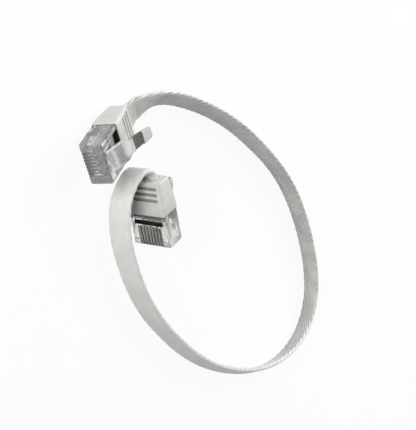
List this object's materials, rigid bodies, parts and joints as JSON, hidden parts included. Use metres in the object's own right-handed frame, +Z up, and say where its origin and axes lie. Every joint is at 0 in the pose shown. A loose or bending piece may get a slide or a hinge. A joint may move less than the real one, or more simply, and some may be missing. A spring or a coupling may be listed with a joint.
{
  "type": "ethernet patch cable",
  "caption": "Short flat network cable lying in an open loop, with a clear modular plug, a spring latch and a white grooved boot at each end.",
  "frame": {"origin": "on the floor, under the middle of the box round the two plugs", "axes": "+Z up from the floor; seen from above, the loop runs off towards +Y, and plug b points along +X turned 32 degrees towards +Y"},
  "size_m": [0.0888, 0.1621, 0.0137],
  "materials": {
    "jacket_pvc": "satin extruded PVC",
    "boot_pvc": "satin moulded PVC",
    "clear_plastic": "clear moulded polycarbonate",
    "gold_contact": "gold-plated phosphor bronze",
    "copper": "bare copper",
    "guide_plastic": "milky moulded polycarbonate",
    "mould_plastic": "moulded polyethylene",
    "insulation_orange": "extruded insulation",
    "insulation_green": "extruded insulation",
    "insulation_blue": "extruded insulation",
    "insulation_brown": "extruded insulation",
    "insulation_white_orange": "white insulation with an orange stripe",
    "insulation_white_green": "white insulation with a green stripe",
    "insulation_white_blue": "white insulation with a blue stripe",
    "insulation_white_brown": "white insulation with a brown stripe"
  },
  "bodies": {
    "root": {"cable_jacket": "jacket_pvc", "pair_orange": "insulation_orange", "pair_green": "insulation_green", "pair_blue": "insulation_blue", "pair_brown": "insulation_brown", "housing_a": "clear_plastic", "contacts_a": "gold_contact", "guide_bar_a": "guide_plastic", "inner_mould_a": "mould_plastic", "boot_a": "boot_pvc", "cores_a": "copper", "wire_a1": "insulation_white_orange", "wire_a2": "insulation_orange", "wire_a3": "insulation_white_green", "wire_a4": "insulation_blue", "wire_a5": "insulation_white_blue", "wire_a6": "insulation_green", "wire_a7": "insulation_white_brown", "wire_a8": "insulation_brown", "housing_b": "clear_plastic", "contacts_b": "gold_contact", "guide_bar_b": "guide_plastic", "inner_mould_b": "mould_plastic", "boot_b": "boot_pvc", "cores_b": "copper", "wire_b1": "insulation_white_orange", "wire_b2": "insulation_orange", "wire_b3": "insulation_white_green", "wire_b4": "insulation_blue", "wire_b5": "insulation_white_blue", "wire_b6": "insulation_green", "wire_b7": "insulation_white_brown", "wire_b8": "insulation_brown"},
    "latch_a": {"latch_a": "clear_plastic"},
    "latch_b": {"latch_b": "clear_plastic"}
  },
  "joints": [
    {"name": "latch_a_press", "type": "hinge", "parent": "root", "child": "latch_a", "pos_m": [-0.00247, -0.01591, 0.01013], "axis": [-0.766, -0.6428, 0], "range_deg": [0, 15], "stiffness_Nm_per_rad": 0.05},
    {"name": "latch_b_press", "type": "hinge", "parent": "root", "child": "latch_b", "pos_m": [0.01389, 0.02073, 0.00625], "axis": [0, 0, 1], "range_deg": [0, 15], "stiffness_Nm_per_rad": 0.05}
  ]
}
